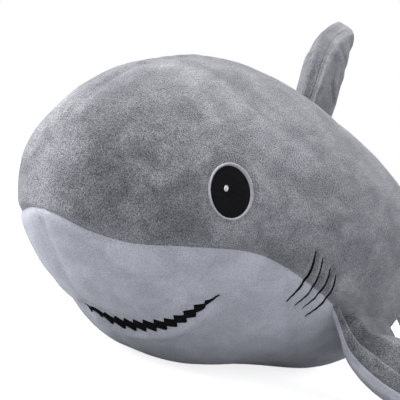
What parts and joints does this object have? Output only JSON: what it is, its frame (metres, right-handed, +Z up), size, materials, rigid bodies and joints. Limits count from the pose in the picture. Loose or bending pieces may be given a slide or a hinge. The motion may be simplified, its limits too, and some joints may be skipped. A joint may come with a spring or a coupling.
{
  "type": "plush shark",
  "caption": "Large stuffed plush shark with a rounded body, grey back, white belly, dorsal, pectoral and tail fins, embroidered eyes, gill lines and a toothed mouth band.",
  "frame": {"origin": "bottom centre of the whole toy, on the surface its belly rests on", "axes": "+Z up, the nose points to -Y and the tail to +Y, the shark's left side is +X"},
  "size_m": [0.6374, 0.9854, 0.4197],
  "materials": {
    "grey_plush": "short pile plush",
    "white_plush": "smooth short pile plush",
    "stuffing": "polyester fibre filling",
    "black_thread": "satin embroidery thread",
    "grey_thread": "satin embroidery thread",
    "white_thread": "satin embroidery thread"
  },
  "bodies": {
    "trunk": {"body_back_skin_left": "grey_plush", "body_belly_skin_left": "white_plush", "body_back_skin_right": "grey_plush", "body_belly_skin_right": "white_plush", "body_stuffing": "stuffing", "eye_pupil_left": "black_thread", "eye_ring_left": "grey_thread", "eye_glint_left": "white_thread", "gill_stitches_left": "black_thread", "eye_pupil_right": "black_thread", "eye_ring_right": "grey_thread", "eye_glint_right": "white_thread", "gill_stitches_right": "black_thread", "mouth_stitching": "black_thread"},
    "tail": {"tail_back_skin_left": "grey_plush", "tail_belly_skin_left": "white_plush", "tail_back_skin_right": "grey_plush", "tail_belly_skin_right": "white_plush", "tail_stuffing": "stuffing", "closing_stitches": "white_thread"},
    "dorsal_fin": {"dorsal_fin_skin_left": "grey_plush", "dorsal_fin_skin_right": "grey_plush", "dorsal_fin_stuffing": "stuffing"},
    "pectoral_fin_left": {"pectoral_fin_top_left": "grey_plush", "pectoral_fin_underside_left": "white_plush", "pectoral_fin_stuffing_left": "stuffing"},
    "pectoral_fin_right": {"pectoral_fin_top_right": "grey_plush", "pectoral_fin_underside_right": "white_plush", "pectoral_fin_stuffing_right": "stuffing"},
    "tail_fin": {"tail_fin_skin_left": "grey_plush", "tail_fin_skin_right": "grey_plush", "tail_fin_stuffing": "stuffing"}
  },
  "joints": [
    {"name": "dorsal_fin_bend", "type": "hinge", "parent": "trunk", "child": "dorsal_fin", "pos_m": [0.00026, -0.10345, 0.32328], "axis": [-0.2686, 0.9366, -0.225], "range_deg": [-30, 30], "stiffness_Nm_per_rad": 0.6},
    {"name": "pectoral_fin_left_flap", "type": "hinge", "parent": "trunk", "child": "pectoral_fin_left", "pos_m": [0.166, -0.2025, 0.062], "axis": [-0.1199, -0.9907, 0.0639], "range_deg": [-20, 35], "stiffness_Nm_per_rad": 0.8},
    {"name": "pectoral_fin_right_flap", "type": "hinge", "parent": "trunk", "child": "pectoral_fin_right", "pos_m": [-0.166, -0.2025, 0.062], "axis": [-0.1199, 0.9907, -0.0639], "range_deg": [-20, 35], "stiffness_Nm_per_rad": 0.8},
    {"name": "tail_bend", "type": "hinge", "parent": "trunk", "child": "tail", "pos_m": [0, 0.1575, 0.13], "axis": [0, 0, 1], "range_deg": [-25, 25], "stiffness_Nm_per_rad": 3},
    {"name": "tail_fin_bend", "type": "hinge", "parent": "tail", "child": "tail_fin", "pos_m": [0, 0.3745, 0.1], "axis": [0, 0, 1], "range_deg": [-30, 30], "stiffness_Nm_per_rad": 0.6}
  ]
}
